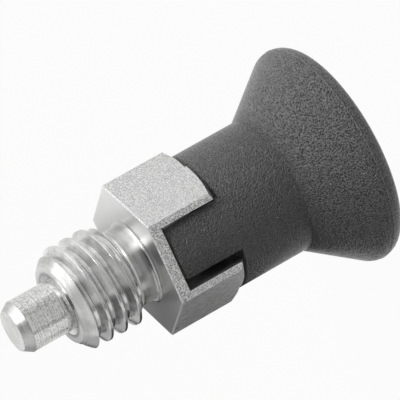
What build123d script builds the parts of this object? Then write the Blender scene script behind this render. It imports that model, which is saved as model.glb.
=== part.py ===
from build123d import *
import math
import os

# Indexing plunger with a lock-out grip: a hexagon sleeve with an M10 x 1.5 thread, a spring-loaded
# locking pin, and a moulded mushroom grip whose two tongues sit in a slot across the hexagon.
# Millimetres, +Z along the pin towards its tip, origin at the middle of the grip's end face.
# The slot runs along Y, so the sleeve's two prongs stand at -X and +X.

# ---- grip, one moulding
GRIP_LENGTH = 14.5          # end face to the shoulder that faces the prongs
GRIP_D = 13.1               # cylinder, flush with the hexagon's flats
NECK_HEIGHT = 7.45          # where the cylinder meets the flare
FLARE_HALF_ANGLE = 36.4     # of the flare's cone, from the axis
RIM_D = 21.28
RIM_REAR_RADIUS = 1.4
RIM_FRONT_RADIUS = 1.35
GRIP_EDGE_BREAK = 0.15      # round the shoulder
TONGUE_WIDTH = 5.0
TONGUE_CORNER_RADIUS = 0.4
TONGUE_TIP_BREAK = 0.3      # along the tip's outer edge
TONGUE_TURN = 3.0           # degrees, how far the grip lies turned within its play in the slot
GATE_D = 2.4                # moulding gate's dimple in the end face
GATE_DEPTH = 0.25

# ---- sleeve, one turned and milled piece
HEX_AF = 13.0
HEX_LENGTH = 7.0            # seat face to the prongs' ends
HEX_CHAMFER_ANGLE = 30.0    # from the end plane
HEX_EDGE_BREAK = 0.1        # round the seat face
SLOT_WIDTH = 6.2
SLOT_FLOOR = 1.1            # wall left between the slot and the seat face
NOTCH_WIDTH = 5.3           # parking notch for the tongues, across the prongs' ends
NOTCH_DEPTH = 0.18
SHANK_LENGTH = 8.25         # seat face to nose face
NOSE_FACE_D = 7.6
RELIEF_D = 7.45             # undercut behind the thread
RELIEF_LENGTH = 1.75
RELIEF_SEAT_RADIUS = 0.4
RELIEF_STEP = 0.25          # short cone between the undercut and its thread side
RELIEF_STEP_ANGLE = 25.0    # of that cone, from the axis
SHOULDER_ANGLE = 62.0       # of the undercut's thread side, from the axis
GUIDE_LENGTH = 2.2          # nose wall that guides the pin
COUNTERSINK_D = 5.95
CHAMBER_D = 6.0             # spring chamber

# ---- thread
THREAD_D = 9.82
THREAD_PITCH_D = 8.95
THREAD_ROOT_D = 8.16
THREAD_PITCH = 1.5
FLANK_ANGLE = 30.0          # of one flank, from the plane across the axis
THREAD_START = 127.8        # degrees about Z, where the ridge leaves the undercut

# ---- locking pin, one turned piece
PIN_D = 5.0
PIN_REACH = 4.9             # nose face to tip
PIN_TIP_D = 3.95
PIN_TIP_LENGTH = 0.85
COLLAR_D = 5.8
COLLAR_LENGTH = 1.2
STEM_D = 3.0
STEM_HOLD = 9.7             # length of stem inside the grip
GROOVE_DEPTH = 0.2          # grooves that hold the stem in the grip
GROOVE_WIDTH = 0.8
GROOVE_COUNT = 2

# ---- retaining bush, pressed and staked into the prongs
BUSH_D = 7.2
BUSH_LENGTH = 1.4
BUSH_CHAMFER = 0.2

# ---- return spring
WIRE_D = 0.55
SPRING_D = 5.6              # outside
SPRING_COILS = 6
WIRE_SIDES = 6              # the wire's section is a polygon round WIRE_D

# ---- running and seating clearances
SHOULDER_GAP = 0.3          # grip's shoulder to the prongs' ends
TONGUE_GAP = 0.2            # tongue tips to the slot's floor
TONGUE_BUSH_GAP = 0.15      # tongues round the bush, radial
GUIDE_CLEARANCE = 0.03      # pin in the nose, radial
STEM_CLEARANCE = 0.02       # stem in the grip, radial
BUSH_CLEARANCE = 0.08       # stem in the bush, radial
COLLAR_GAP = 0.05           # collar to the chamber's end wall
SPRING_GAP = 0.02           # spring to the collar
STEM_END_GAP = 0.2          # stem to the bottom of its hole

ROUND_STEP = 18.5           # degrees, widest turn between two cones of a turned rounding

# ---- levels along Z
prong_z = GRIP_LENGTH + SHOULDER_GAP
seat_z = prong_z + HEX_LENGTH
slot_floor_z = seat_z - SLOT_FLOOR
relief_top_z = seat_z + RELIEF_LENGTH
nose_z = seat_z + SHANK_LENGTH
tip_z = nose_z + PIN_REACH
chamber_top_z = nose_z - GUIDE_LENGTH
collar_top_z = chamber_top_z - COLLAR_GAP
collar_z = collar_top_z - COLLAR_LENGTH
bush_top_z = prong_z + BUSH_LENGTH
stem_end_z = GRIP_LENGTH - STEM_HOLD
tongue_tip_z = slot_floor_z - TONGUE_GAP

UPWARD = (Align.CENTER, Align.CENTER, Align.MIN)


def spin(corners):
    """Solid of revolution about Z from (radius, z) corners."""
    return revolve(Plane.XZ * make_face(Polyline(*corners, close=True)), Axis.Z)


def rounding(centre, radius, start, end):
    """(radius, z) points along an arc about centre, from start to end degrees, as equal short cones."""
    count = math.ceil(abs(end - start) / ROUND_STEP)
    angles = [math.radians(start + (end - start) * step / count) for step in range(count + 1)]
    return [(centre[0] + radius * math.cos(a), centre[1] + radius * math.sin(a)) for a in angles]


def rod(diameter, low, high):
    """Cylinder on the axis between two levels."""
    return Pos(0, 0, low) * Cylinder(diameter / 2, high - low, align=UPWARD)


def bar(width_x, width_y, low, high):
    """Block centred on the axis between two levels."""
    return Pos(0, 0, low) * Box(width_x, width_y, high - low, align=UPWARD)


# ---------------------------------------------------------------- threaded sleeve
def thread_ridge():
    """Helical ridge of the thread, buried a little in the core and overlong at both ends."""
    bury = 0.15
    slope = math.tan(math.radians(FLANK_ANGLE))
    root_r = THREAD_ROOT_D / 2
    crest_r = THREAD_D / 2
    pitch_r = THREAD_PITCH_D / 2
    half_crest = THREAD_PITCH / 4 - (crest_r - pitch_r) * slope
    half_base = THREAD_PITCH / 4 + (pitch_r - root_r + bury) * slope
    low = relief_top_z - THREAD_PITCH / 2
    high = nose_z + THREAD_PITCH / 2
    section = Polyline(
        (root_r - bury, -half_base),
        (crest_r, -half_crest),
        (crest_r, half_crest),
        (root_r - bury, half_base),
        close=True,
    )
    path = Helix(THREAD_PITCH, high - low, root_r)
    ridge = sweep(Plane.XZ * make_face(section), path=path, is_frenet=True)
    return Pos(0, 0, low) * Rot(0, 0, THREAD_START) * ridge


def shank_envelope():
    """Outside of the shank as turned before threading: undercut shoulder, blank and nose chamfer."""
    relief_r = RELIEF_D / 2
    outer_r = THREAD_D / 2 + 0.5
    step_r = relief_r + RELIEF_STEP * math.tan(math.radians(RELIEF_STEP_ANGLE))
    step_z = relief_top_z + RELIEF_STEP
    shoulder_length = (outer_r - step_r) / math.tan(math.radians(SHOULDER_ANGLE))
    corners = [
        (0, seat_z),
        (relief_r, seat_z),
        (relief_r, relief_top_z),
        (step_r, step_z),
        (outer_r, step_z + shoulder_length),
        (outer_r, nose_z - (outer_r - NOSE_FACE_D / 2)),
        (NOSE_FACE_D / 2, nose_z),
        (0, nose_z),
    ]
    return spin(corners)


def undercut():
    """Plain neck from inside the hexagon to the thread, rounded into the seat face."""
    relief_r = RELIEF_D / 2
    skirt_r = relief_r + RELIEF_SEAT_RADIUS
    low = seat_z - SLOT_FLOOR / 2
    arc = rounding((skirt_r, seat_z + RELIEF_SEAT_RADIUS), RELIEF_SEAT_RADIUS, 270, 180)
    return spin([(0, low), (skirt_r, low), *arc, (relief_r, relief_top_z), (0, relief_top_z)])


def hexagon_head():
    """Hexagon with its rear corners turned off and the edge of its seat face broken."""
    outline = RegularPolygon(HEX_AF / 2, 6, major_radius=False)
    hexagon = Pos(0, 0, prong_z) * extrude(outline, HEX_LENGTH)
    hexagon = chamfer(hexagon.edges().group_by(Axis.Z)[-1], HEX_EDGE_BREAK)
    rise = math.tan(math.radians(HEX_CHAMFER_ANGLE))
    far_r = HEX_AF
    turned = [
        (0, prong_z),
        (HEX_AF / 2, prong_z),
        (far_r, prong_z + (far_r - HEX_AF / 2) * rise),
        (far_r, seat_z),
        (0, seat_z),
    ]
    return hexagon & spin(turned)


def threaded_sleeve():
    """Hexagon sleeve with slot, parking notch, undercut, thread and the stepped bore for pin and spring."""
    core = rod(THREAD_ROOT_D, relief_top_z - THREAD_PITCH, nose_z + THREAD_PITCH)
    shank = (core + thread_ridge()) & shank_envelope()
    body = hexagon_head() + undercut() + shank
    body -= bar(SLOT_WIDTH, 2 * HEX_AF, prong_z - 1, slot_floor_z)
    body -= bar(2 * HEX_AF, NOTCH_WIDTH, prong_z - 1, prong_z + NOTCH_DEPTH)
    body -= rod(CHAMBER_D, prong_z, chamber_top_z)
    body -= rod(BUSH_D, prong_z - 1, bush_top_z)
    guide_r = PIN_D / 2 + GUIDE_CLEARANCE
    sink_r = COUNTERSINK_D / 2
    body -= spin(
        [
            (0, chamber_top_z - 1),
            (guide_r, chamber_top_z - 1),
            (guide_r, nose_z - (sink_r - guide_r)),
            (sink_r, nose_z),
            (sink_r, nose_z + 1),
            (0, nose_z + 1),
        ]
    )
    return body


# ---------------------------------------------------------------- locking pin, bush and spring
def locking_pin():
    """Pin with chamfered tip, collar for the spring, and a grooved stem that the grip holds."""
    corners = [
        (0, tip_z),
        (PIN_TIP_D / 2, tip_z),
        (PIN_D / 2, tip_z - PIN_TIP_LENGTH),
        (PIN_D / 2, collar_top_z),
        (COLLAR_D / 2, collar_top_z),
        (COLLAR_D / 2, collar_z),
        (STEM_D / 2, collar_z),
    ]
    step = (GRIP_LENGTH - stem_end_z) / (GROOVE_COUNT + 1)
    for count in range(GROOVE_COUNT):
        middle = GRIP_LENGTH - (count + 1) * step
        corners += [
            (STEM_D / 2, middle + GROOVE_WIDTH / 2),
            (STEM_D / 2 - GROOVE_DEPTH, middle + GROOVE_WIDTH / 2 - GROOVE_DEPTH),
            (STEM_D / 2 - GROOVE_DEPTH, middle - GROOVE_WIDTH / 2 + GROOVE_DEPTH),
            (STEM_D / 2, middle - GROOVE_WIDTH / 2),
        ]
    corners += [
        (STEM_D / 2, stem_end_z + GROOVE_DEPTH),
        (STEM_D / 2 - GROOVE_DEPTH, stem_end_z),
        (0, stem_end_z),
    ]
    return spin(corners)


def retaining_bush():
    """Bush that closes the spring chamber at the prongs' ends and guides the stem."""
    outer_r = BUSH_D / 2
    bore_r = STEM_D / 2 + BUSH_CLEARANCE
    return spin(
        [
            (bore_r, prong_z),
            (outer_r, prong_z),
            (outer_r, bush_top_z - BUSH_CHAMFER),
            (outer_r - BUSH_CHAMFER, bush_top_z),
            (bore_r, bush_top_z),
        ]
    )


def return_spring():
    """Compression spring between bush and collar, ends ground flat."""
    low, high = bush_top_z, collar_z - SPRING_GAP
    mean_r = (SPRING_D - WIRE_D) / 2
    pitch = (high - low) / SPRING_COILS
    path = Helix(pitch, high - low + pitch, mean_r)
    section = RegularPolygon(WIRE_D / 2 / math.cos(math.pi / WIRE_SIDES) ** 0.5, WIRE_SIDES)
    wire = sweep(Plane(path @ 0, z_dir=path % 0) * section, path=path, is_frenet=True)
    return Pos(0, 0, low - pitch / 2) * wire & rod(2 * SPRING_D, low, high)


# ---------------------------------------------------------------- grip
def grip_body():
    """Turned shape of the grip: cylinder, flare, rounded rim and flat end with the gate's dimple."""
    rim_r = RIM_D / 2
    grip_r = GRIP_D / 2
    flare_z = NECK_HEIGHT - (rim_r - grip_r) / math.tan(math.radians(FLARE_HALF_ANGLE))
    front_z = flare_z - RIM_FRONT_RADIUS * math.tan(math.radians(FLARE_HALF_ANGLE / 2))
    corners = [
        (0, GATE_DEPTH),
        (GATE_D / 2, GATE_DEPTH),
        (GATE_D / 2, 0),
        *rounding((rim_r - RIM_REAR_RADIUS, RIM_REAR_RADIUS), RIM_REAR_RADIUS, -90, 0),
        *rounding((rim_r - RIM_FRONT_RADIUS, front_z), RIM_FRONT_RADIUS, 0, FLARE_HALF_ANGLE),
        (grip_r, NECK_HEIGHT),
        (grip_r, GRIP_LENGTH - GRIP_EDGE_BREAK),
        (grip_r - GRIP_EDGE_BREAK, GRIP_LENGTH),
        (0, GRIP_LENGTH),
    ]
    return spin(corners)


def tongue():
    """One tongue on the -Y side, curved to the grip's cylinder outside and round the bush inside."""
    outer_r = GRIP_D / 2
    inner_r = BUSH_D / 2 + TONGUE_BUSH_GAP
    low = GRIP_LENGTH - 1
    blank = Pos(0, -outer_r / 2, low) * Box(TONGUE_WIDTH, outer_r, tongue_tip_z - low, align=UPWARD)
    tip_corners = blank.edges().filter_by(Axis.Y).group_by(Axis.Z)[-1]
    ring = spin(
        [
            (inner_r, low),
            (outer_r, low),
            (outer_r, tongue_tip_z - TONGUE_TIP_BREAK),
            (outer_r - TONGUE_TIP_BREAK, tongue_tip_z),
            (inner_r, tongue_tip_z),
        ]
    )
    return fillet(tip_corners, TONGUE_CORNER_RADIUS) & ring


def grip():
    """Mushroom grip with both tongues and the blind hole for the stem."""
    body = grip_body()
    for half_turn in (0, 180):
        body += Rot(0, 0, TONGUE_TURN + half_turn) * tongue()
    body -= rod(STEM_D + 2 * STEM_CLEARANCE, stem_end_z - STEM_END_GAP, GRIP_LENGTH + 1)
    return body


PIECES = {
    "threaded_sleeve": threaded_sleeve,
    "locking_pin": locking_pin,
    "retaining_bush": retaining_bush,
    "return_spring": return_spring,
    "grip": grip,
}

os.makedirs("parts", exist_ok=True)
for name, build in PIECES.items():
    piece = build()
    export_step(piece, f"parts/{name}.step")
    print(f"{name}: {piece.volume:.1f} mm3")
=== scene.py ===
"""Looks of the indexing plunger: the finish of every surface, the camera, the lights and the floor."""

import math

import bmesh
import bpy
from mathutils import Matrix, Vector


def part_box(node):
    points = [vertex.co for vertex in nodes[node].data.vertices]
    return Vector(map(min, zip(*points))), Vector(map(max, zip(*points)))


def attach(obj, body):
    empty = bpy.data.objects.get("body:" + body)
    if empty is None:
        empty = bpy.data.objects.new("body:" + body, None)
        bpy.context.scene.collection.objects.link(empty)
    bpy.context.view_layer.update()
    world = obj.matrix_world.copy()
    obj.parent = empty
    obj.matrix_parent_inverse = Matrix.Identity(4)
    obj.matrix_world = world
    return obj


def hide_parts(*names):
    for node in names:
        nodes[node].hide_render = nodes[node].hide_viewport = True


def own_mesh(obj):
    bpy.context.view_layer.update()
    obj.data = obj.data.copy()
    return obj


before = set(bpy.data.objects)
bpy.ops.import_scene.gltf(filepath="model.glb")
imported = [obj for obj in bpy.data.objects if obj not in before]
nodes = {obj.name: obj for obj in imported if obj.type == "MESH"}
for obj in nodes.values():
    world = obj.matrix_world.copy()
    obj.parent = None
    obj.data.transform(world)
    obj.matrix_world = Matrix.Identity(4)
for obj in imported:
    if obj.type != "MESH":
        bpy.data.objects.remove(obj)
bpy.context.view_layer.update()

MM = 0.001

# ---- camera, as the picture was taken
IMAGE_SIDE = 400
FOCAL_PIXELS = 4636.0
SENSOR_MM = 36.0
CAMERA_AZIMUTH = 13.76       # degrees from -Y towards +X
CAMERA_ELEVATION = 18.92
CAMERA_ROLL = -119.4         # degrees that the picture is turned, so the pin points down to the left
CAMERA_DISTANCE = 0.4098     # along the view to the middle of the seat face
SEAT_PIXEL = (137.0, 261.0)  # where the middle of the seat face lies in the picture

# ---- the sleeve's levels, from the frame
PRONG_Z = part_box("threaded_sleeve")[0].z
NOSE_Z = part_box("threaded_sleeve")[1].z
HEX_LENGTH = 7.0 * MM
SEAT_Z = PRONG_Z + HEX_LENGTH
RELIEF_LENGTH = 1.75 * MM
RELIEF_TOP_Z = SEAT_Z + RELIEF_LENGTH
UNDERCUT_REACH = 4.6 * MM    # from the axis; the seat face lies outside it
NOSE_CHAMFER = 1.3 * MM      # length of the nose that holds its chamfer and the bore's edge
BORE_EDGE_REACH = 3.2 * MM   # from the axis; between the bore's edge and the nose's chamfer
TIP_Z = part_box("locking_pin")[1].z
PIN_CHAMFER = 0.85 * MM

# ---- how a face's level and direction tell its finish
END_MARGIN = 0.02 * MM       # below an end face's level
SEAT_MARGIN = 0.01 * MM
FACES_UP = 0.99              # least normal.z of a flat end face
NOSE_CHAMFER_UP = 0.6        # least normal.z of the nose's chamfer
EDGE_UP = 0.3                # least normal.z of the bore's edge and of the pin's chamfer
UPRIGHT = 0.1                # greatest normal.z, up or down, of the hexagon's flats
SLOTTED_TURN = 166           # degrees from the camera's side to a flat that the slot opens through
PAINTED_LIGHT_FLAT_TURN = 286             # and to the flat that shows the drawn bar's marks, painted lighter to lift the shade it lies in
TURN_MARGIN = 5
BLASTED, SEAT, THREAD, NOSE, UNDERCUT, SLOTTED, DRAWN_PAINTED_LIGHT, BORE_EDGE, RING_FACE = range(9)
CYLINDER, TIP_CHAMFER, TIP_FACE = range(3)

# ---- the grip, remade with fine roundings on the same sizes as its solid
GRIP_LENGTH = 14.5 * MM
GRIP_RADIUS = 6.55 * MM
RIM_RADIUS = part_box("grip")[1].x
TONGUE_TIP_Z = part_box("grip")[1].z
NECK_HEIGHT = 7.45 * MM
FLARE_HALF_ANGLE = 36.4
RIM_REAR_RADIUS = 1.4 * MM
RIM_FRONT_RADIUS = 1.35 * MM
TONGUE_WIDTH = 5.0 * MM
TONGUE_INNER_RADIUS = 3.75 * MM
TONGUE_CORNER_RADIUS = 0.4 * MM
TONGUE_TIP_ROUND = 0.3 * MM
TONGUE_TURN = 3.0
GATE_RADIUS = 1.2 * MM
GATE_DEPTH = 0.25 * MM
STEM_HOLE_RADIUS = 1.52 * MM
STEM_HOLE_DEPTH = 9.9 * MM
PARTING_HEIGHT = 0.03 * MM
EDGE_ROUND = 0.07 * MM
ROUND_FROM_ANGLE = 38        # edges that turn by more are rounded
SHARP_FROM_ANGLE = 28        # edges that turn by more are shaded sharp
LATHE_STEPS = 256
SLIVER = 0.002 * MM          # narrower faces are merged away

# ---- light
AMBIENT = 0.10
FLOOR_WHITE = 0.96
FLOOR_HALF_SIDE = 3.0
FLOOR_Z = -0.05 * MM
STUDIO_MIDDLE_Z = 18 * MM
FAN_STEPS = 8


# ---------------------------------------------------------------- materials
class Finish:
    """One material; its short calls add nodes, and lengths in its patterns are millimetres."""

    def __init__(self, name, color, metallic, roughness):
        self.material = bpy.data.materials.new(name)
        self.material.use_nodes = True
        self.tree = self.material.node_tree
        self.shader = self.tree.nodes["Principled BSDF"]
        self.shader.inputs["Base Color"].default_value = (*color, 1)
        self.shader.inputs["Metallic"].default_value = metallic
        self.shader.inputs["Roughness"].default_value = roughness
        coordinates = self.add("ShaderNodeTexCoord").outputs["Object"]
        scaled = self.add("ShaderNodeVectorMath", {0: coordinates, "Scale": 1 / MM}, operation="SCALE")
        self.place = scaled.outputs["Vector"]
        split = self.add("ShaderNodeSeparateXYZ", {0: self.place}).outputs
        self.x, self.y, self.z = split["X"], split["Y"], split["Z"]
        self.radius = self.math("SQRT", self.math("ADD", self.math("MULTIPLY", self.x, self.x),
                                                  self.math("MULTIPLY", self.y, self.y)))

    def add(self, kind, inputs=None, **settings):
        node = self.tree.nodes.new(kind)
        for key, value in settings.items():
            setattr(node, key, value)
        for key, value in (inputs or {}).items():
            self.feed(node.inputs[key], value)
        return node

    def feed(self, socket, value):
        if isinstance(value, bpy.types.NodeSocket):
            self.tree.links.new(value, socket)
        else:
            socket.default_value = value

    def math(self, operation, *values):
        node = self.add("ShaderNodeMath", dict(enumerate(values)), operation=operation)
        return node.outputs[0]

    def combine(self, x, y, z):
        return self.add("ShaderNodeCombineXYZ", {"X": x, "Y": y, "Z": z}).outputs[0]

    def noise(self, scale, detail=2.0, roughness=0.5, vector=None):
        inputs = {"Vector": vector or self.place, "Scale": scale, "Detail": detail, "Roughness": roughness}
        return self.add("ShaderNodeTexNoise", inputs).outputs["Fac"]

    def cells(self, scale):
        inputs = {"Vector": self.place, "Scale": scale, "Smoothness": 0.6}
        return self.add("ShaderNodeTexVoronoi", inputs, feature="SMOOTH_F1").outputs["Distance"]

    def remap(self, value, low, high, to_low=0.0, to_high=1.0):
        inputs = {"Value": value, "From Min": low, "From Max": high, "To Min": to_low, "To Max": to_high}
        node = self.add("ShaderNodeMapRange", inputs, interpolation_type="SMOOTHSTEP")
        return node.outputs["Result"]

    def blend(self, factor, first, second):
        node = self.add("ShaderNodeMix", data_type="RGBA")
        for socket, value in zip((node.inputs[0], node.inputs[6], node.inputs[7]), (factor, first, second)):
            self.feed(socket, value if isinstance(value, bpy.types.NodeSocket) else (*value, 1))
        return node.outputs[2]

    def bevel(self, radius):
        """Normal that turns smoothly over sharp edges, radius in millimetres."""
        return self.add("ShaderNodeBevel", {"Radius": radius * MM}, samples=6).outputs[0]

    def bump(self, height, depth, normal=None):
        """Relief of the given depth in millimetres."""
        inputs = {"Height": height, "Distance": depth * MM, "Strength": 1.0}
        if normal:
            inputs["Normal"] = normal
        return self.add("ShaderNodeBump", inputs).outputs[0]

    def color(self, value):
        self.feed(self.shader.inputs["Base Color"], value)

    def roughness(self, value):
        self.feed(self.shader.inputs["Roughness"], value)

    def normal(self, value):
        self.feed(self.shader.inputs["Normal"], value)

    def brushed_round(self, amount):
        """Stretches the highlights across grooves that run round the axis."""
        self.shader.inputs["Anisotropic"].default_value = amount
        self.shader.inputs["Anisotropic Rotation"].default_value = 0.25
        tangent = self.add("ShaderNodeTangent", direction_type="RADIAL", axis="Z").outputs[0]
        self.feed(self.shader.inputs["Tangent"], tangent)


def blasted_steel(name, dark, light, streaks):
    """Hexagon and slot: blasted with fine beads over the marks left along the drawn bar."""
    finish = Finish(name, (light, light, light), 1.0, 0.45)
    grain = finish.noise(6.5, 1.0, 0.5)
    fine = finish.noise(12.0, 0.0, 0.5)
    drawn = finish.combine(finish.math("MULTIPLY", finish.x, 9.0), finish.math("MULTIPLY", finish.y, 9.0),
                           finish.math("MULTIPLY", finish.z, 1.6))
    lines = finish.noise(1.0, 2.0, 0.6, drawn)
    beads = finish.math("ADD", finish.math("MULTIPLY", grain, 0.5), finish.math("MULTIPLY", fine, 0.5))
    speckle = finish.math("ADD", finish.math("MULTIPLY", beads, 1 - streaks),
                          finish.math("MULTIPLY", lines, streaks))
    finish.color(finish.blend(finish.remap(speckle, 0.40, 0.60), (dark,) * 3, (light, light, light * 0.99)))
    finish.roughness(finish.remap(grain, 0.3, 0.7, 0.40, 0.50))
    finish.normal(finish.bump(speckle, 0.06, finish.bevel(0.03)))
    return finish.material


def turned_steel(name, tone, roughness, anisotropy, cloud=0.65, groove=0.012, spread=0.15, edge=0.06,
                 vary=0.18):
    """Turned surfaces: fine grooves round the axis, and slow changes of tone; cloud is the share of these."""
    finish = Finish(name, (tone, tone, tone * 0.985), 1.0, roughness)
    grooves = finish.noise(1.0, 3.0, 0.6, finish.combine(finish.math("MULTIPLY", finish.radius, 9.0), 0.0,
                                                        finish.math("MULTIPLY", finish.z, 9.0)))
    stain = finish.noise(0.55, 2.0, 0.5)
    shade = finish.math("ADD", finish.math("MULTIPLY", grooves, 0.35), finish.math("MULTIPLY", stain, cloud))
    dark = (tone * 0.80, tone * 0.80, tone * 0.79)
    light = (min(1.0, tone * 1.16), min(1.0, tone * 1.16), min(1.0, tone * 1.15))
    half = (0.35 + cloud) / 2
    finish.color(finish.blend(finish.remap(shade, half - spread, half + spread), dark, light))
    finish.roughness(finish.remap(grooves, 0.3, 0.7, roughness * (1 - vary), roughness * (1 + vary)))
    finish.normal(finish.bump(grooves, groove, finish.bevel(edge)))
    if anisotropy:
        finish.brushed_round(anisotropy)
    return finish.material


def nose_face_with_painted_shade():
    """Nose's ring face: turned, with painted shade that darkens it where it meets the bore."""
    finish = Finish("nose_face", (0.7, 0.7, 0.69), 1.0, 0.28)
    # Painted shade: darker towards the bore, where the gap round the pin lies in shadow.
    finish.color(finish.blend(finish.remap(finish.radius, 3.05, 3.4), (0.4, 0.4, 0.395), (0.82, 0.82, 0.81)))
    finish.normal(finish.bevel(0.06))
    finish.brushed_round(0.4)
    return finish.material


def pin_steel():
    """Pin's cylinder: dull, finely pitted, with faint marks round it."""
    finish = Finish("pin_steel", (0.58, 0.58, 0.57), 1.0, 0.22)
    grain = finish.noise(4.5, 3.0, 0.6)
    marks = finish.noise(1.0, 2.0, 0.5, finish.combine(finish.math("MULTIPLY", finish.radius, 6.0), 0.0,
                                                      finish.math("MULTIPLY", finish.z, 6.0)))
    shade = finish.math("ADD", finish.math("MULTIPLY", grain, 0.6), finish.math("MULTIPLY", marks, 0.4))
    finish.color(finish.blend(finish.remap(shade, 0.36, 0.64), (0.46, 0.46, 0.45), (0.82, 0.82, 0.81)))
    finish.roughness(finish.remap(grain, 0.3, 0.7, 0.18, 0.26))
    finish.normal(finish.bump(shade, 0.02, finish.bevel(0.08)))
    return finish.material


def moulded_plastic():
    """Grip: anthracite plastic with a moulded grain, dark in its pits and paler on its crests. It is fine on
    the cylinder and the tongues and leathery on the flare, and the rim's parting line has a painted
    highlight."""
    finish = Finish("moulded_plastic", (0.11, 0.11, 0.111), 0.0, 0.2)
    finish.shader.inputs["Specular IOR Level"].default_value = 0.38
    grain = finish.cells(6.8)
    fine = finish.noise(8.0, 1.0, 0.5)
    height = finish.math("ADD", finish.math("MULTIPLY", grain, 0.7), finish.math("MULTIPLY", fine, 0.5))
    share = finish.remap(height, 0.42, 0.64)
    fine_skin = finish.blend(share, (0.07, 0.07, 0.071), (0.135, 0.135, 0.136))
    leather_skin = finish.blend(share, (0.027, 0.027, 0.028), (0.193, 0.193, 0.194))
    flare = finish.remap(finish.radius, GRIP_RADIUS / MM + 0.1, GRIP_RADIUS / MM + 0.9)
    skin = finish.blend(flare, fine_skin, leather_skin)
    # Painted highlight: the parting line round the rim is coloured pale, as if it caught the light.
    parting_highlight = finish.remap(finish.radius, (RIM_RADIUS - PARTING_HEIGHT) / MM, RIM_RADIUS / MM)
    finish.color(finish.blend(parting_highlight, skin, (0.4, 0.4, 0.4)))
    finish.roughness(finish.remap(height, 0.3, 0.8, 0.2, 0.15))
    finish.normal(finish.bump(height, 0.2))
    return finish.material


def plain_steel(name, tone, roughness):
    """Hidden pieces: drawn or turned steel with a light grain."""
    finish = Finish(name, (tone, tone, tone), 1.0, roughness)
    grain = finish.noise(3.0, 2.0, 0.5)
    finish.color(finish.blend(finish.remap(grain, 0.35, 0.65), (tone * 0.85,) * 3, (tone * 1.1,) * 3))
    finish.normal(finish.bump(grain, 0.01, finish.bevel(0.05)))
    return finish.material


# ---------------------------------------------------------------- metal pieces
def finished_copy(node, body, materials, choose):
    """Shows a CAD node's own faces with several finishes; choose(middle, normal) gives a face's index."""
    mesh = nodes[node].data.copy()
    mesh.name = node + "_faces"
    mesh.materials.clear()
    for material in materials:
        mesh.materials.append(material)
    for face in mesh.polygons:
        face.material_index = choose(face.center, face.normal)
    piece = bpy.data.objects.new(node + "_finish", mesh)
    bpy.context.scene.collection.objects.link(piece)
    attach(piece, body)
    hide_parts(node)
    return piece


def sleeve_finish(middle, normal):
    """Index of the finish for a face of the sleeve, by its middle and its normal."""
    reach = math.hypot(middle.x, middle.y)
    if normal.z > FACES_UP and middle.z > NOSE_Z - END_MARGIN:
        return RING_FACE
    if middle.z > NOSE_Z - NOSE_CHAMFER and normal.z > NOSE_CHAMFER_UP and reach > BORE_EDGE_REACH:
        return NOSE
    if middle.z > NOSE_Z - NOSE_CHAMFER and normal.z > EDGE_UP and reach < BORE_EDGE_REACH:
        return BORE_EDGE
    if middle.z > RELIEF_TOP_Z:
        return THREAD
    if middle.z > SEAT_Z - SEAT_MARGIN:
        return SEAT if normal.z > FACES_UP and reach > UNDERCUT_REACH else UNDERCUT
    near, upper = view_axes()
    turn = math.degrees(math.atan2(normal.dot(upper), normal.dot(near))) % 360
    if abs(normal.z) < UPRIGHT and abs(turn % 180 - SLOTTED_TURN) < TURN_MARGIN:
        return SLOTTED
    # This one flat gets painted light: a paler copy of the blasted finish, with the drawn bar's marks.
    if abs(normal.z) < UPRIGHT and abs(turn - PAINTED_LIGHT_FLAT_TURN) < TURN_MARGIN:
        return DRAWN_PAINTED_LIGHT
    return BLASTED


def pin_finish(middle, normal):
    """Index of the finish for a face of the pin, by its middle and its normal."""
    if normal.z > FACES_UP and middle.z > TIP_Z - END_MARGIN:
        return TIP_FACE
    return TIP_CHAMFER if middle.z > TIP_Z - PIN_CHAMFER and normal.z > EDGE_UP else CYLINDER


def dress(node, material):
    """Gives a CAD object that stays as it is one material."""
    data = nodes[node].data
    data.materials.clear()
    data.materials.append(material)


def add_metal():
    sleeve_materials = {
        BLASTED: blasted_steel("blasted_steel", 0.44, 0.71, 0.1),
        SEAT: turned_steel("turned_seat", 0.8, 0.30, 0.4, cloud=0.15, groove=0.001, spread=0.5, vary=0.03),
        THREAD: turned_steel("turned_thread", 0.65, 0.20, 0.0),
        NOSE: turned_steel("turned_nose", 0.53, 0.24, 0.15),
        UNDERCUT: turned_steel("turned_undercut", 0.51, 0.24, 0.3),
        SLOTTED: blasted_steel("blasted_slot", 0.34, 0.90, 0.0),
        # Painted light: paler than the other flats to lift the shade this flat lies in; its streaks are the
        # drawn bar's marks.
        DRAWN_PAINTED_LIGHT: blasted_steel("blasted_drawn_painted_light", 0.55, 1.0, 0.6),
        BORE_EDGE: turned_steel("bore_edge", 0.9, 0.4, 0.0, cloud=0.1, groove=0.003),
        RING_FACE: nose_face_with_painted_shade(),
    }
    finished_copy("threaded_sleeve", "sleeve", sleeve_materials.values(), sleeve_finish)
    pin_materials = {
        CYLINDER: pin_steel(),
        TIP_CHAMFER: turned_steel("turned_tip", 0.49, 0.34, 0.0, cloud=0.3, groove=0.006, edge=0.12),
        TIP_FACE: turned_steel("turned_end", 0.75, 0.30, 0.0, cloud=0.4, groove=0.006, spread=0.2, edge=0.12),
    }
    finished_copy("locking_pin", "pin", pin_materials.values(), pin_finish)
    wire = plain_steel("spring_wire", 0.5, 0.35)
    spring = finished_copy("return_spring", "sleeve", [wire], lambda middle, normal: 0)
    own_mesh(spring)
    dress("retaining_bush", plain_steel("bush_steel", 0.45, 0.4))


# ---------------------------------------------------------------- grip
def arc(center, radius, start, end, steps):
    """(radius, z) points along an arc about center, from start to end degrees."""
    angles = [math.radians(start + (end - start) * step / steps) for step in range(steps + 1)]
    return [(center[0] + radius * math.cos(a), center[1] + radius * math.sin(a)) for a in angles]


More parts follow.
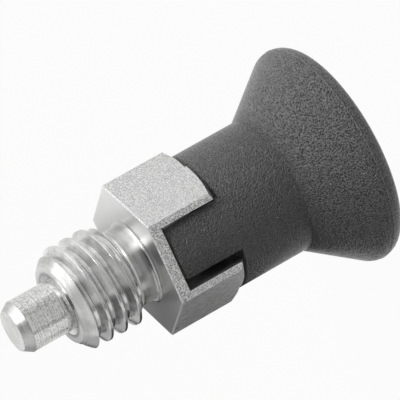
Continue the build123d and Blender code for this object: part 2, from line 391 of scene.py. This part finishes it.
def grip_outline():
    """(radius, z) points from the end face's middle, over rim and flare, to the middle of the stem hole."""
    half = math.radians(FLARE_HALF_ANGLE)
    rim = RIM_RADIUS - PARTING_HEIGHT
    flare_z = NECK_HEIGHT - (rim - GRIP_RADIUS) / math.tan(half)
    front_z = flare_z - RIM_FRONT_RADIUS * math.tan(half / 2)
    rear = (rim - RIM_REAR_RADIUS, RIM_REAR_RADIUS)
    front = (rim - RIM_FRONT_RADIUS, front_z)
    tip = (GRIP_RADIUS - TONGUE_TIP_ROUND, TONGUE_TIP_Z - TONGUE_TIP_ROUND)
    return [
        (0, GATE_DEPTH),
        (GATE_RADIUS, GATE_DEPTH),
        (GATE_RADIUS, 0),
        *arc(rear, RIM_REAR_RADIUS, -90, 0, 10),
        (RIM_RADIUS, (RIM_REAR_RADIUS + front_z) / 2),
        *arc(front, RIM_FRONT_RADIUS, 0, FLARE_HALF_ANGLE, 6),
        (GRIP_RADIUS, NECK_HEIGHT),
        *arc(tip, TONGUE_TIP_ROUND, 0, 90, 5),
        (TONGUE_INNER_RADIUS, TONGUE_TIP_Z),
        (TONGUE_INNER_RADIUS, GRIP_LENGTH),
        (STEM_HOLE_RADIUS, GRIP_LENGTH),
        (STEM_HOLE_RADIUS, GRIP_LENGTH - STEM_HOLE_DEPTH),
        (0, GRIP_LENGTH - STEM_HOLE_DEPTH),
    ]


def lathe(name, outline):
    """Closed mesh of an outline that starts and ends on the axis, turned about Z."""
    made = bmesh.new()
    rings = []
    for reach, height in outline:
        if reach == 0:
            rings.append([made.verts.new((0, 0, height))])
            continue
        turns = [math.tau * step / LATHE_STEPS for step in range(LATHE_STEPS)]
        rings.append([made.verts.new((reach * math.cos(a), reach * math.sin(a), height)) for a in turns])
    for low, high in zip(rings, rings[1:]):
        for step in range(LATHE_STEPS):
            after = (step + 1) % LATHE_STEPS
            corners = [low[step % len(low)], low[after % len(low)],
                       high[after % len(high)], high[step % len(high)]]
            made.faces.new(dict.fromkeys(corners))
    bmesh.ops.recalc_face_normals(made, faces=made.faces)
    mesh = bpy.data.meshes.new(name)
    made.to_mesh(mesh)
    made.free()
    return bpy.data.objects.new(name, mesh)


def tongue_cutter():
    """Block above the shoulder, less the tongues' outline, to be taken from the turned blank."""
    half = TONGUE_WIDTH / 2
    side = 2 * GRIP_RADIUS
    top = TONGUE_TIP_Z + 2 * MM
    corner = (half - TONGUE_CORNER_RADIUS, TONGUE_TIP_Z - TONGUE_CORNER_RADIUS)
    right = arc(corner, TONGUE_CORNER_RADIUS, 0, 90, 5)
    left = [(-x, z) for x, z in reversed(right)]
    outline = [(half, GRIP_LENGTH), *right, *left, (-half, GRIP_LENGTH),
               (-side, GRIP_LENGTH), (-side, top), (side, top), (side, GRIP_LENGTH)]
    made = bmesh.new()
    near = [made.verts.new((x, -side, z)) for x, z in outline]
    far = [made.verts.new((x, side, z)) for x, z in outline]
    made.faces.new(near)
    made.faces.new(reversed(far))
    for index in range(len(outline)):
        after = (index + 1) % len(outline)
        made.faces.new((near[index], far[index], far[after], near[after]))
    bmesh.ops.recalc_face_normals(made, faces=made.faces)
    mesh = bpy.data.meshes.new("tongue_cutter")
    made.to_mesh(mesh)
    made.free()
    cutter = bpy.data.objects.new("tongue_cutter", mesh)
    cutter.rotation_euler.z = math.radians(TONGUE_TURN)
    return cutter


def apply_modifiers(piece):
    bpy.context.view_layer.update()
    shown = piece.evaluated_get(bpy.context.evaluated_depsgraph_get())
    mesh = bpy.data.meshes.new_from_object(shown)
    piece.modifiers.clear()
    piece.data = mesh


def merge_slivers(mesh):
    """Takes out the faces of no width that the cut and the bevel leave."""
    made = bmesh.new()
    made.from_mesh(mesh)
    bmesh.ops.remove_doubles(made, verts=made.verts, dist=SLIVER)
    bmesh.ops.dissolve_degenerate(made, dist=SLIVER, edges=made.edges)
    many_sided = [face for face in made.faces if len(face.verts) > 4]
    bmesh.ops.triangulate(made, faces=many_sided, ngon_method="BEAUTY")
    made.to_mesh(mesh)
    made.free()


def add_grip():
    """Turned blank with the tongues left standing, its edges rounded."""
    piece = lathe("grip_moulding", grip_outline())
    cutter = tongue_cutter()
    for made in (piece, cutter):
        bpy.context.scene.collection.objects.link(made)
    cut = piece.modifiers.new("cut", "BOOLEAN")
    cut.object = cutter
    cut.operation = "DIFFERENCE"
    cut.solver = "EXACT"
    apply_modifiers(piece)
    bpy.data.objects.remove(cutter)
    soften = piece.modifiers.new("soften", "BEVEL")
    soften.width = EDGE_ROUND
    soften.segments = 2
    soften.limit_method = "ANGLE"
    soften.angle_limit = math.radians(ROUND_FROM_ANGLE)
    apply_modifiers(piece)
    merge_slivers(piece.data)
    piece.data.shade_smooth()
    piece.data.set_sharp_from_angle(angle=math.radians(SHARP_FROM_ANGLE))
    piece.data.materials.append(moulded_plastic())
    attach(piece, "grip")
    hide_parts("grip")


# ---------------------------------------------------------------- camera, lights and floor
def view_axes():
    """Level directions in the shared frame: towards the camera, and towards the picture's upper side."""
    azimuth = math.radians(CAMERA_AZIMUTH)
    near = Vector((math.sin(azimuth), -math.cos(azimuth), 0))
    upper = Vector((math.cos(azimuth), math.sin(azimuth), 0))
    return near, upper


def add_camera():
    """Camera that sees the middle of the seat face at SEAT_PIXEL, rolled like the picture."""
    elevation = math.radians(CAMERA_ELEVATION)
    roll = math.radians(CAMERA_ROLL)
    near, level_right = view_axes()
    back = near * math.cos(elevation) + Vector((0, 0, math.sin(elevation)))
    level_up = back.cross(level_right)
    right = level_right * math.cos(roll) + level_up * math.sin(roll)
    up = back.cross(right)
    pixel = CAMERA_DISTANCE / FOCAL_PIXELS
    across = (SEAT_PIXEL[0] - IMAGE_SIDE / 2) * pixel
    down = (SEAT_PIXEL[1] - IMAGE_SIDE / 2) * pixel
    place = Vector((0, 0, SEAT_Z)) - right * across + up * down + back * CAMERA_DISTANCE
    data = bpy.data.cameras.new("camera")
    data.sensor_width = SENSOR_MM
    data.lens = FOCAL_PIXELS / IMAGE_SIDE * SENSOR_MM
    data.clip_start = 10 * MM
    camera = bpy.data.objects.new("camera", data)
    camera.matrix_world = Matrix.Translation(place) @ Matrix((right, up, back)).transposed().to_4x4()
    bpy.context.scene.collection.objects.link(camera)
    bpy.context.scene.camera = camera


def add_area(name, place, target, width, height, brightness):
    """Rectangular lamp at place, facing target; brightness is that of its face, where white paper is 1."""
    data = bpy.data.lights.new(name, "AREA")
    data.shape = "RECTANGLE"
    data.size = width
    data.size_y = height
    data.energy = brightness * math.pi * width * height
    lamp = bpy.data.objects.new(name, data)
    lamp.location = place
    lamp.rotation_euler = (target - place).to_track_quat("-Z", "Y").to_euler()
    bpy.context.scene.collection.objects.link(lamp)


def add_card(name, corners, tone):
    """Card through the given corners, which shows only in reflections."""
    mesh = bpy.data.meshes.new(name)
    mesh.from_pydata(corners, [], [tuple(range(len(corners)))])
    finish = Finish(name, (tone, tone, tone), 0.0, 1.0)
    finish.shader.inputs["Specular IOR Level"].default_value = 0.0
    mesh.materials.append(finish.material)
    card = bpy.data.objects.new(name, mesh)
    card.visible_camera = False
    card.visible_diffuse = False
    card.visible_shadow = False
    bpy.context.scene.collection.objects.link(card)


def toward(azimuth, elevation):
    """Direction from the object; azimuth goes from the camera's side to the picture's upper side."""
    near, upper = view_axes()
    turn, rise = math.radians(azimuth), math.radians(elevation)
    flat = near * math.cos(turn) + upper * math.sin(turn)
    return flat * math.cos(rise) + Vector((0, 0, math.sin(rise)))


def level(near_mm, upper_mm, height_mm):
    """Point by its distances towards the camera, towards the picture's upper side, and above the floor."""
    near, upper = view_axes()
    return near * near_mm * MM + upper * upper_mm * MM + Vector((0, 0, height_mm * MM))


def add_upright(name, start, end, low, high, tone):
    """Upright card between two (near, upper) points, from one height to another, in millimetres."""
    corners = [level(*start, low), level(*end, low), level(*end, high), level(*start, high)]
    add_card(name, corners, tone)


def add_flat(name, points, height, tone):
    """Card lying over the floor, through (near, upper) points in millimetres."""
    add_card(name, [level(*point, height) for point in points], tone)


def fan(start, end, inner, outer):
    """(near, upper) points of a ring's sector between two azimuths and two radii."""
    turns = [start + (end - start) * step / FAN_STEPS for step in range(FAN_STEPS + 1)]
    ways = [(math.cos(math.radians(turn)), math.sin(math.radians(turn))) for turn in turns]
    return [(x * inner, y * inner) for x, y in ways] + [(x * outer, y * outer) for x, y in reversed(ways)]


def add_studio():
    """Hard key, large softbox on the picture's upper side, and cards that shape the metal's reflections. The
    lamps' distances and sizes are metres."""
    middle = Vector((0, 0, STUDIO_MIDDLE_Z))
    add_area("key", middle + toward(46, 49) * 0.45, middle, 0.05, 0.05, 60.0)
    add_area("softbox", middle + toward(70, 27) * 0.3, middle, 0.42, 0.36, 1.39)
    add_upright("camera_card", (150, -160), (150, 70), 10, 200, 0.05)
    add_flat("front_card", fan(-60, 27, 56, 88), 1, 0.2)
    add_flat("dark_strip", [(46, -41), (56, -96), (74, -92), (61, -34)], 2, 0.03)
    add_flat("pale_card", fan(23, 52, 92, 140), 1, 0.3)
    add_upright("side_card", (8, -50), (-13.4, -44.6), 1, 14, 0.33)
    add_upright("low_card", (-13.4, -44.6), (-35, -7.3), 1, 13, 0.12)
    add_card("middle_card", [level(-13.4, -44.6, 13), level(-40.4, 2, 13), level(-40.4, 2, 21.2),
                             level(-13.4, -44.6, 18.6)], 0.05)
    back = ((52, 6), (80, 6), (108, 6), (108, 26), (80, 26), (52, 26))
    add_card("back_card", [middle + toward(*way) * 0.5 for way in back], 0.3)
    add_upright("high_card", (-32.3, -12), (-41.6, 4), 25, 42, 0.05)
    add_upright("flank_card", (-13.4, -44.6), (-32.3, -12), 24.5, 30.5, 0.1)
    add_flat("flank_floor", fan(-92, -45, 28, 55), 1, 0.15)
    add_upright("nose_card", (-18, -38), (-33, -10), 30.5, 50, 0.9)
    add_flat("thread_card", fan(-200, -112, 15, 120), 150, 0.2)
    add_flat("grip_card", fan(-115, 20, 36, 68), 45, 0.35)


def background_rays(tree):
    """1 for rays that show the background: straight from the camera, mirrored or through glass."""
    path = tree.nodes.new("ShaderNodeLightPath")
    total = None
    for ray in ("Is Camera Ray", "Is Glossy Ray", "Is Transmission Ray"):
        add = tree.nodes.new("ShaderNodeMath")
        add.use_clamp = True
        tree.links.new(path.outputs[ray], add.inputs[0])
        if total:
            tree.links.new(total, add.inputs[1])
        else:
            add.inputs[1].default_value = 0.0
        total = add.outputs[0]
    return total


def add_world():
    """White room that lights the object only dimly."""
    world = bpy.data.worlds.new("studio")
    world.use_nodes = True
    tree = world.node_tree
    strength = tree.nodes.new("ShaderNodeMapRange")
    strength.inputs["To Min"].default_value = AMBIENT
    strength.inputs["To Max"].default_value = 1.0
    tree.links.new(background_rays(tree), strength.inputs["Value"])
    background = tree.nodes["Background"]
    background.inputs["Color"].default_value = (1, 1, 1, 1)
    tree.links.new(strength.outputs["Result"], background.inputs["Strength"])
    bpy.context.scene.world = world
    bpy.context.scene.view_settings.view_transform = "Standard"


def add_floor():
    """White floor, which shows mostly its own even white and a little of the object's shadow. The grip stands
    on it, so it goes along with the pin when the pin is pulled."""
    side = FLOOR_HALF_SIDE
    corners = [(x * side, y * side, FLOOR_Z) for x, y in ((-1, -1), (1, -1), (1, 1), (-1, 1))]
    mesh = bpy.data.meshes.new("floor")
    mesh.from_pydata(corners, [], [(0, 1, 2, 3)])
    floor = bpy.data.objects.new("floor", mesh)
    bpy.context.scene.collection.objects.link(floor)
    finish = Finish("floor", (0.45, 0.45, 0.45), 0.0, 0.9)
    finish.shader.inputs["Specular IOR Level"].default_value = 0.0
    share = finish.math("MULTIPLY", background_rays(finish.tree), FLOOR_WHITE)
    white = finish.add("ShaderNodeEmission", {"Strength": 1.0}).outputs[0]
    mixed = finish.add("ShaderNodeMixShader", {0: share, 1: finish.shader.outputs[0], 2: white}).outputs[0]
    finish.feed(finish.tree.nodes["Material Output"].inputs["Surface"], mixed)
    mesh.materials.append(finish.material)
    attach(floor, "pin")


add_metal()
add_grip()
add_camera()
add_studio()
add_world()
add_floor()
